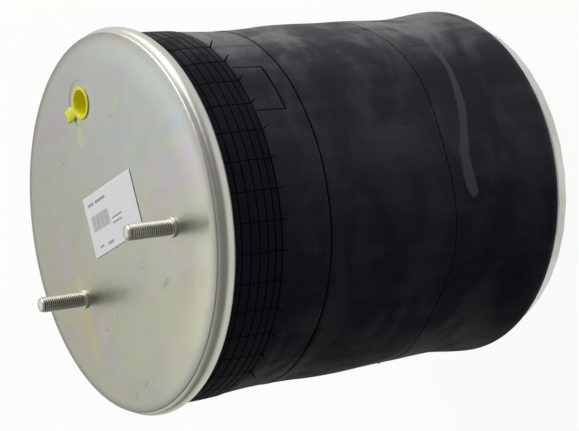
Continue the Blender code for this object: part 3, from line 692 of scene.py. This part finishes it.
def make_stud(name, centre, start_turn):
    """Head, collar, thread and domed tip on one turned solid, with the thread as a helix."""
    collar_foot = FACE_Z + COLLAR_GAP
    foot = FACE_Z + COLLAR_HEIGHT
    outline = rounded([(0.0, STUD_HEAD_BOTTOM), (STUD_HEAD_R, STUD_HEAD_BOTTOM, 0.5),
                       (STUD_HEAD_R, STUD_HEAD_TOP, 0.3), (STUD_R, STUD_HEAD_TOP), (STUD_R, collar_foot),
                       (COLLAR_R, collar_foot, 0.2), (COLLAR_R, foot, 0.8), (STUD_R - 0.2, foot + 0.1)], 20)
    threads = np.arange(foot + THREAD_FOOT, THREAD_TOP, STUD_PITCH / THREAD_ROWS)
    tip = [(TIP_R * math.sin(u), STUD_TIP + TIP_LIFT - TIP_DOME * (1 - math.cos(u)))
           for u in np.radians(np.linspace(90, 0, 10))]
    turns = np.arange(STUD_COLUMNS) / STUD_COLUMNS
    plain = [np.full(STUD_COLUMNS, r) for r, _ in outline]
    fade = (np.clip((threads - threads[0]) / THREAD_FADE, 0, 1)
            * np.clip((threads[-1] - threads) / THREAD_FADE + THREAD_END_SHARE, 0, 1))
    cut = [thread_radius(z, turns + start_turn, STUD_R - (STUD_R - STUD_ROOT_R) * f, STUD_R, STUD_PITCH)
           - LEAD_CUT * max(0.0, 1 - (threads[-1] - z) / LEAD_HEIGHT)
           for z, f in zip(threads, fade)]
    end = [np.full(STUD_COLUMNS, r) for r, _ in tip]
    heights = [z for _, z in outline] + list(threads) + [z for _, z in tip]
    radii = np.array(plain + cut + end)
    angles = turns * 2 * math.pi
    vertices = np.stack([centre[0] + radii * np.cos(angles), centre[1] + radii * np.sin(angles),
                         np.array(heights)[:, None] * np.ones(STUD_COLUMNS)], -1).reshape(-1, 3) * MM
    faces = ring_faces(len(heights), STUD_COLUMNS, False)
    piece = finish_mesh(name + "_thread", vertices, faces, [STUD_ZINC], 35)
    at = np.array([v.co for v in piece.data.vertices]) / MM
    reach = np.hypot(at[:, 0] - centre[0], at[:, 1] - centre[1])
    threaded = (at[:, 2] > foot + 0.4) & (at[:, 2] < THREAD_TOP)
    # Painted shade in the thread roots: deeper points get more of it
    depth = np.clip((STUD_R - reach) / (STUD_R - STUD_ROOT_R), 0, 1) ** 0.7
    store(piece.data, "root", "FLOAT", depth * threaded)
    return dress(piece, "plate_assembly", "zinc_plated_steel", name)


# Plug

def make_plug():
    low, top = PLUG_FLANGE
    outline = rounded([(0.0, PLUG_BOTTOM), (PLUG_NOSE_R, PLUG_BOTTOM, 1.0),
                       (PLUG_BODY_R, low - PLUG_NOSE, 1.0), (PLUG_BODY_R, low),
                       (PLUG_FLANGE_R, low, 0.3), (PLUG_FLANGE_R, top, 0.9),
                       (PLUG_CUP_R + 0.3, top, 0.8), (PLUG_CUP_R - 0.5, top - PLUG_CUP_LIP, 2.0),
                       (PLUG_CUP_R - 1.1, PLUG_FLOOR, 1.2), (0.0, PLUG_FLOOR)], 15)
    body = turned("inlet_plug_cup", outline, YELLOW, 96, INLET)
    at = np.array([v.co for v in body.data.vertices]) / MM
    reach = np.hypot(at[:, 0] - INLET[0], at[:, 1] - INLET[1])
    # Painted shade inside the cup, growing over the lip's depth
    inside = (reach < PLUG_CUP_R - 0.3) * np.clip((top - at[:, 2]) / PLUG_CUP_LIP, 0, 1)
    store(body.data, "inside", "FLOAT", inside)
    dress(body, "inlet_plug", "plug_plastic", "inlet_plug")
    make_tab()


def make_tab():
    """Pull tab: a thin block that leaves the flange and rises towards its end."""
    turn = math.radians(TAB_ANGLE)
    along = np.array([math.cos(turn), math.sin(turn), 0.0])
    across = np.array([-along[1], along[0], 0.0])
    root = np.array([*INLET, PLUG_FLANGE[1] - TAB_SUNK])
    slope = math.tan(math.radians(TAB_RISE))
    rows = []
    for distance, lift, thick, share in TAB_STATIONS:
        middle = root + along * distance + np.array([0, 0, lift * slope / TAB_DRAWN_RISE])
        half_width, half_thick = TAB_WIDTH / 2 * share, thick / 2
        for wide, high in TAB_SECTION:
            rows.append(middle + across * half_width * wide + np.array([0, 0, half_thick * high]))
    count, stations = len(TAB_SECTION), len(TAB_STATIONS)
    faces = ring_faces(stations, count, False)
    faces.append(tuple(range(count)))
    faces.append(tuple(reversed(range((stations - 1) * count, stations * count))))
    piece = finish_mesh("inlet_plug_tab", np.array(rows) * MM, faces, [YELLOW], 30)
    bevel = piece.modifiers.new("edge", "BEVEL")
    bevel.width = TAB_BEVEL * MM
    bevel.segments = 2
    bevel.limit_method = "ANGLE"
    dress(piece, "inlet_plug", "plug_plastic")


# Sticker

def ink_areas():
    """Printed areas of the sticker, as (left, right, low, high) in millimetres on it."""
    areas = list(PRINT_BARS)
    left = BLOCK_LEFT
    for width in BLOCK_WIDTHS:
        areas.append((left, left + width, *BLOCK_EDGES))
        left += width + BLOCK_GAP
    return areas


def cuts(half, ends):
    """Where the sheet is cut along one side: its edges, a line inside each, and the bars' ends."""
    return sorted({-half, half, -half + LABEL_EDGE, half - LABEL_EDGE} | set(ends))


def make_label():
    """A thin sheet whose top is cut into cells, so that each printed bar is its own faces."""
    half_x, half_y = LABEL_SIZE[0] / 2, LABEL_SIZE[1] / 2
    areas = ink_areas()
    xs = cuts(half_x, [end for area in areas for end in area[:2]])
    ys = cuts(half_y, [end for area in areas for end in area[2:]])
    turn = math.radians(LABEL_TURN)
    vertices = []
    for y in ys:
        for x in xs:
            corner = abs(abs(x) - half_x) < 1e-6 and abs(abs(y) - half_y) < 1e-6
            px, py = (x * LABEL_CORNER[0], y * LABEL_CORNER[1]) if corner else (x, y)
            vertices.append((LABEL_CENTRE[0] + px * math.cos(turn) - py * math.sin(turn),
                             LABEL_CENTRE[1] + px * math.sin(turn) + py * math.cos(turn), LABEL_Z[1]))
    columns = len(xs)
    faces, inked = [], []
    for row in range(len(ys) - 1):
        for column in range(columns - 1):
            first = row * columns + column
            faces.append((first, first + 1, first + 1 + columns, first + columns))
            middle_x, middle_y = (xs[column] + xs[column + 1]) / 2, (ys[row] + ys[row + 1]) / 2
            inked.append(any(a[0] < middle_x < a[1] and a[2] < middle_y < a[3] for a in areas))
    piece = finish_mesh("label_sheet", np.array(vertices) * MM, faces, [PAPER, INK])
    for face, printed in zip(piece.data.polygons, inked):
        face.material_index = int(printed)
    sheet = piece.modifiers.new("sheet", "SOLIDIFY")
    sheet.thickness = (LABEL_Z[1] - LABEL_Z[0]) * MM
    sheet.offset = -1.0
    dress(piece, "plate_assembly", "label_paper", "label")


# Bellows

def smooth_wall(heights):
    """Outer radius of the wall at each height, on a smooth cubic through the points of OUTER_WALL."""
    points = sorted(OUTER_WALL, key=lambda p: p[1])
    z = np.array([p[1] for p in points])
    r = np.array([p[0] for p in points])
    slope = np.gradient(r, z)
    slope[0] = 0.0
    i = np.clip(np.searchsorted(z, heights) - 1, 0, len(z) - 2)
    gap = z[i + 1] - z[i]
    t = np.clip((heights - z[i]) / gap, 0, 1)
    return ((2 * t ** 3 - 3 * t ** 2 + 1) * r[i] + (t ** 3 - 2 * t ** 2 + t) * gap * slope[i]
            + (3 * t ** 2 - 2 * t ** 3) * r[i + 1] + (t ** 3 - t ** 2) * gap * slope[i + 1])


def wall_heights():
    """Rows of the outer wall, close together at each groove and step."""
    levels = set(np.round(np.arange(LOBE_CENTRE[1], NECK_Z, ROW_STEP), 3))
    for groove_z in TREAD_GROOVES + [TREAD_END, MOULD_LINE, PARTING_LINE, FRAME_Z[0], FRAME_Z[1]]:
        levels = {z for z in levels if abs(z - groove_z) > 1.5}
        levels |= {groove_z + d for d in GROOVE_ROWS}
    return np.array(sorted(levels | {NECK_Z, LOBE_CENTRE[1]}, reverse=True))


def wall_angles():
    """Columns of the bellows, close together at each rib line of the tread and at the frame's sides."""
    angles = [(RIB_START + k * RIB_SPACING + d) % 360 for k in range(RIB_COUNT) for d in RIB_COLUMNS]
    for side in FRAME_ANGLES:
        angles = [a for a in angles if abs(a - side) > 0.45]
        angles += [side + d for d in FRAME_COLUMNS]
    return np.array(sorted(angles))


def parting_wave(angles):
    """How far the parting line wanders from its mean height, in millimetres."""
    return sum(rise * np.cos(np.radians(waves * (angles - crest))) for rise, waves, crest in PARTING_WAVES)


def groove(distance, half_width, depth):
    """Vee groove with rounded lips: distance and half width in millimetres."""
    near = np.clip(1 - np.abs(distance) / half_width, 0, 1)
    return -depth * near * near * (3 - 2 * near)


def relief(angles, heights, radius):
    """How far the moulding stands out of the outer wall, and how much painted shade each point in a groove
    gets, more where it is deeper.
    """
    a, z = np.meshgrid(angles, heights)
    along = radius[:, None] * np.pi / 180
    out = np.zeros_like(a)
    for line in TREAD_GROOVES:
        out += groove(z - line, *TREAD_GROOVE)
    tread = z > TREAD_END - 0.3
    rib = np.mod(a - RIB_START + RIB_SPACING / 2, RIB_SPACING) - RIB_SPACING / 2
    out = np.minimum(out, np.where(tread, groove(rib * along, *RIB_GROOVE), 0.0))
    out += groove(z - TREAD_END + 0.25, *TREAD_END_GROOVE)
    out += groove(z - MOULD_LINE, *MOULD_GROOVE)
    below, half_width, rise = MOULD_RIDGE
    out += rise * np.clip(1 - np.abs(z - MOULD_LINE + below) / half_width, 0, 1) ** 0.5
    dots = 0.75 + 0.25 * np.sin(np.radians(a) * PARTING_DOTS)
    out += groove(z - PARTING_LINE, *PARTING_GROOVE) * dots
    inside_z = (z > FRAME_Z[0] - 0.3) & (z < FRAME_Z[1])
    for side in FRAME_ANGLES:
        out += np.where(inside_z, groove((a - side) * along, *FRAME_SIDE_GROOVE), 0.0)
    inside_a = (a > FRAME_ANGLES[0] - 0.1) & (a < FRAME_ANGLES[1] + 0.1)
    out += np.where(inside_a, groove(z - FRAME_Z[0], *FRAME_FOOT_GROOVE), 0.0)
    ledge = TREAD_STEP * np.clip((z - TREAD_END) / 0.5, 0, 1)
    # Painted shade in the grooves, rising with their depth
    groove_shade = np.clip(-out / 0.6 + 0.1, 0, 1) * (out < -0.08)
    slow = sum(dent * np.sin(np.radians(a) * waves + z * climb + phase)
               for dent, waves, climb, phase in WALL_DENTS)
    quiet = np.clip((300 - z) / 60, 0, 1) * np.clip((z - 20) / 30, 0.2, 1)
    return out + ledge + slow * quiet, groove_shade


def smear_amount(points):
    """1 inside the dried smear, 0 a few millimetres away from it."""
    angle = np.degrees(np.arctan2(points[:, 1], points[:, 0]))
    flat = np.column_stack([np.radians(angle) * SMEAR_R, points[:, 2]])
    amount = np.zeros(len(points))
    for (a1, z1, w1), (a2, z2, w2) in zip(SMEAR, SMEAR[1:]):
        start = np.array([math.radians(a1) * SMEAR_R, z1])
        step = np.array([math.radians(a2) * SMEAR_R, z2]) - start
        t = np.clip((flat - start) @ step / (step @ step), 0, 1)
        away = np.linalg.norm(flat - start - t[:, None] * step, axis=1)
        width = w1 + (w2 - w1) * t
        amount = np.maximum(amount, np.clip((width + SMEAR_SOFT - away) / (2 * SMEAR_SOFT), 0, 1))
    return amount


def bellows_piece(name, rows, angles):
    """A part of the bellows from rows of (radius, height) arrays, closed round its cut ends."""
    turns = np.radians(angles)
    radii = np.array([np.broadcast_to(r, angles.shape) for r, _ in rows])
    heights = np.array([np.broadcast_to(z, angles.shape) for _, z in rows])
    points = np.stack([radii * np.cos(turns), radii * np.sin(turns), heights], -1).reshape(-1, 3)
    mesh = bpy.data.meshes.new(name)
    mesh.from_pydata([tuple(p) for p in points * MM], [], ring_faces(len(rows), len(angles), True))
    mesh.materials.append(RUBBER)
    piece = bpy.data.objects.new(name, mesh)
    PARTS.objects.link(piece)
    mesh.shade_smooth()
    mesh.set_sharp_from_angle(angle=math.radians(50))
    store(mesh, "rest", "FLOAT_VECTOR", points * MM)
    return piece, points


def make_outer_wall(angles):
    """Upper bead and outer wall with its relief, which stretches from the lobe to the plate."""
    heights = wall_heights()
    base = smooth_wall(heights)
    out, groove_shade = relief(angles, heights, base)
    wave = parting_wave(angles)
    outer = [(base[i] + out[i], z + wave * max(0.0, 1 - abs(z - PARTING_LINE) / PARTING_REACH))
             for i, z in enumerate(heights)]
    inside_z = np.linspace(LOBE_CENTRE[1], NECK_Z - 5, 40)
    inner = [(smooth_wall(np.array([z]))[0] - WALL, z) for z in inside_z]
    bead = BEAD_FOOT + arc(ROLL_CENTRE, BEAD_R, -90, 115, 16) + BEAD_INSIDE
    loop = bead[::-1] + outer + inner
    wall, points = bellows_piece("bellows_outer_wall", loop[::-1], angles)
    # Painted shade for the grooves, stored as the groove attribute
    depth = np.zeros((len(loop), len(angles)))
    depth[len(bead):len(bead) + len(outer)] = groove_shade
    store(wall.data, "groove", "FLOAT", depth[::-1])
    reach = np.hypot(points[:, 0], points[:, 1])
    tread = np.clip((points[:, 2] - TREAD_END) / 0.6, 0, 1) * (reach > TREAD_OUTSIDE_R)
    store(wall.data, "tread", "FLOAT", tread)
    store(wall.data, "smear", "FLOAT", smear_amount(points) * (reach > SMEAR_OUTSIDE_R))
    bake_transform(wall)
    return wall


def make_lobe(angles):
    """The rolled lobe: a half ring of skin round LOBE_CENTRE, closed by its lining inside."""
    skin = arc(LOBE_CENTRE, LOBE_BEND, 0, -180, 40)
    lining = arc(LOBE_CENTRE, LOBE_BEND - WALL, -180, 0, 24)
    rows = [(np.full(len(angles), r), z) for r, z in skin + lining]
    lobe, _ = bellows_piece("bellows_rolled_lobe", rows, angles)
    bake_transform(lobe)
    return lobe


def make_inner_wall(angles):
    """Inner wall along the piston and the lower bead, which stays on the piston above a height of 200."""
    middle = LOBE_CENTRE[1]
    near, far = LOBE_CENTRE[0] - LOBE_BEND, LOBE_CENTRE[0] - LOBE_BEND + WALL
    straight = np.linspace(middle, SHOULDER[1], 60)
    outside = [(far, z) for z in straight] + arc(SHOULDER, far - SHOULDER[0], 0, 90, 16)[1:]
    inside = arc(SHOULDER, near - SHOULDER[0], 90, 0, 16)[:-1] + [(near, z) for z in straight[::-1]]
    rows = [(np.full(len(angles), r), z) for r, z in outside + LOWER_BEAD + inside]
    inner_wall, _ = bellows_piece("bellows_inner_wall", rows, angles)
    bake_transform(inner_wall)
    return inner_wall


def make_bellows():
    angles = wall_angles()
    for piece in (make_outer_wall(angles), make_lobe(angles), make_inner_wall(angles)):
        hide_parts("bellows")
    make_nibs()


def make_nibs():
    """Vent nibs that the mould leaves at the foot of each rib line, and short ones on the parting line."""
    chance = np.random.default_rng(7)
    vertices, faces = [], []

    def nib(angle, height, radius, length, lean, thick):
        turn = math.radians(angle)
        outward = np.array([math.cos(turn), math.sin(turn), 0.0])
        around = np.array([-math.sin(turn), math.cos(turn), 0.0])
        up = np.array([0.0, 0.0, 1.0])
        sideways = chance.uniform(-0.5, 0.5)
        first = len(vertices)
        for t, share in NIB_RINGS:
            middle_point = (outward * (radius + length * t) + up * (height - lean * t * t)
                            + around * sideways * t * t)
            for k in range(NIB_SIDES):
                side = math.radians(360 / NIB_SIDES * k)
                spoke = around * math.cos(side) + up * math.sin(side)
                vertices.append(middle_point + spoke * thick / 2 * share)
        for ring in range(len(NIB_RINGS) - 1):
            for k in range(NIB_SIDES):
                a, b = first + ring * NIB_SIDES + k, first + ring * NIB_SIDES + (k + 1) % NIB_SIDES
                faces.append((a, b, b + NIB_SIDES, a + NIB_SIDES))
        last = first + (len(NIB_RINGS) - 1) * NIB_SIDES
        faces.append(tuple(first + k for k in reversed(range(NIB_SIDES))))
        faces.append(tuple(last + k for k in range(NIB_SIDES)))

    low, high, low_2, high_2 = SHORT_NIB_ANGLES
    for k in range(RIB_COUNT):
        angle = RIB_START + k * RIB_SPACING
        length = chance.uniform(*NIB_LENGTH)
        if low < angle < high or low_2 < angle < high_2:
            length = SHORT_NIB
        lean = chance.uniform(*NIB_LEAN) * length / NIB_LEAN_LENGTH
        nib(angle, TREAD_END - 0.1, NIB_ROOT_R, length, lean, NIB_THICK)
    places = np.arange(3.0, 363.0, NUB_SPACING)
    for angle in places + chance.uniform(-NUB_SPREAD, NUB_SPREAD, len(places)):
        height = PARTING_LINE + parting_wave(angle)
        nib(angle, height, NUB_ROOT_R, chance.uniform(*NUB_LENGTH), NUB_LEAN, NUB_THICK)
    piece = finish_mesh("bellows_vent_nibs", np.array(vertices) * MM, faces, [RUBBER], 40)
    store(piece.data, "rest", "FLOAT_VECTOR", np.array([v.co for v in piece.data.vertices]))
    # The nibs take 0.9 of the near-black that paints shade into the grooves
    store(piece.data, "groove", "FLOAT", np.full(len(piece.data.vertices), 0.9))
    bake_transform(piece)


# Piston and the pieces inside

def carry_over():
    """CAD nodes whose shapes stay, with their materials."""
    looks = {"piston_shell": PISTON_ZINC, "piston_base_plate": PISTON_ZINC, "piston_centre_tube": STEEL,
             "base_nut_1": STUD_ZINC, "base_nut_2": STUD_ZINC, "bead_retainer": STEEL,
             "clamp_bolt": STUD_ZINC, "clamp_washer": STUD_ZINC, "clamp_nut": STUD_ZINC,
             "bump_stop": STOP_RUBBER, "bump_stop_insert": STEEL, "lower_bead_wire": STEEL,
             "upper_bead_wire": STEEL, "inlet_bush": STEEL}
    for name, material in looks.items():
        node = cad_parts[name]
        node.data.materials.clear()
        node.data.materials.append(material)


make_plate()
for index, (stud, place) in enumerate(STUDS.items()):
    make_stud(stud, place, THREAD_TURN + THREAD_TURN_STEP * index)
make_plug()
make_label()
make_bellows()
carry_over()


# Floor, lights and camera

def make_floor():
    """Pale floor that keeps the object's shadow, and is nearly white to the camera and in reflections."""
    floor_mesh = bpy.data.meshes.new("floor")
    half = FLOOR_HALF
    floor_mesh.from_pydata([(-half, -half, 0), (half, -half, 0), (half, half, 0), (-half, half, 0)], [],
                           [(0, 1, 2, 3)])
    floor = bpy.data.objects.new("floor", floor_mesh)
    floor.location.z = -FLOOR_DROP
    bpy.context.scene.collection.objects.link(floor)
    white = bpy.data.materials.new("white_floor")
    white.use_nodes = True
    tree = white.node_tree
    tree.nodes.clear()
    out = tree.nodes.new("ShaderNodeOutputMaterial")
    matt = tree.nodes.new("ShaderNodeBsdfDiffuse")
    matt.inputs["Color"].default_value = (FLOOR_GREY, FLOOR_GREY, FLOOR_GREY, 1)
    glow = tree.nodes.new("ShaderNodeEmission")
    glow.inputs["Strength"].default_value = FLOOR_GLOW
    rays = tree.nodes.new("ShaderNodeLightPath")
    seen = tree.nodes.new("ShaderNodeMath")
    seen.operation = "MAXIMUM"
    either = tree.nodes.new("ShaderNodeMath")
    either.operation = "MAXIMUM"
    share = tree.nodes.new("ShaderNodeMath")
    share.operation = "MULTIPLY"
    share.inputs[1].default_value = FLOOR_GLOW_SHARE
    mixed = tree.nodes.new("ShaderNodeMixShader")
    links = tree.links
    links.new(rays.outputs["Is Camera Ray"], seen.inputs[0])
    links.new(rays.outputs["Is Glossy Ray"], seen.inputs[1])
    links.new(seen.outputs[0], either.inputs[0])
    links.new(rays.outputs["Is Transmission Ray"], either.inputs[1])
    links.new(either.outputs[0], share.inputs[0])
    links.new(share.outputs[0], mixed.inputs[0])
    links.new(matt.outputs[0], mixed.inputs[1])
    links.new(glow.outputs[0], mixed.inputs[2])
    links.new(mixed.outputs[0], out.inputs[0])
    floor_mesh.materials.append(white)


def make_world():
    world = bpy.data.worlds.new("studio")
    world.use_nodes = True
    tree = world.node_tree
    sky = tree.nodes["Background"]
    sky.inputs["Color"].default_value = (WORLD_GREY, WORLD_GREY, WORLD_GREY, 1)
    sky.inputs["Strength"].default_value = WORLD_LIGHT
    bpy.context.scene.world = world


def softbox(name, direction, distance, size, power):
    """An area light that looks at the target from a direction."""
    light = bpy.data.lights.new(name, "AREA")
    light.shape = "RECTANGLE"
    light.size, light.size_y = size
    light.energy = power
    lamp = bpy.data.objects.new(name, light)
    towards = Vector(direction).normalized()
    lamp.location = Vector(LAMP_TARGET) + towards * distance
    lamp.rotation_euler = towards.to_track_quat("Z", "Y").to_euler()
    bpy.context.scene.collection.objects.link(lamp)


def make_camera():
    """The camera lies on its side, because the photograph shows the spring lying down."""
    right, up = Vector(CAMERA_RIGHT).normalized(), Vector(CAMERA_UP).normalized()
    back = right.cross(up).normalized()
    up = back.cross(right)
    data = bpy.data.cameras.new("camera")
    data.lens = CAMERA_LENS
    data.clip_end = CAMERA_FAR
    camera = bpy.data.objects.new("camera", data)
    rotation = Matrix((right, up, back)).transposed()
    camera.matrix_world = Matrix.Translation(CAMERA_AT) @ rotation.to_4x4()
    bpy.context.scene.collection.objects.link(camera)
    bpy.context.scene.camera = camera


make_floor()
make_world()
for lamp_name, lamp in LAMPS.items():
    softbox(lamp_name, *lamp)
make_camera()
bpy.context.scene.view_settings.view_transform = "Standard"
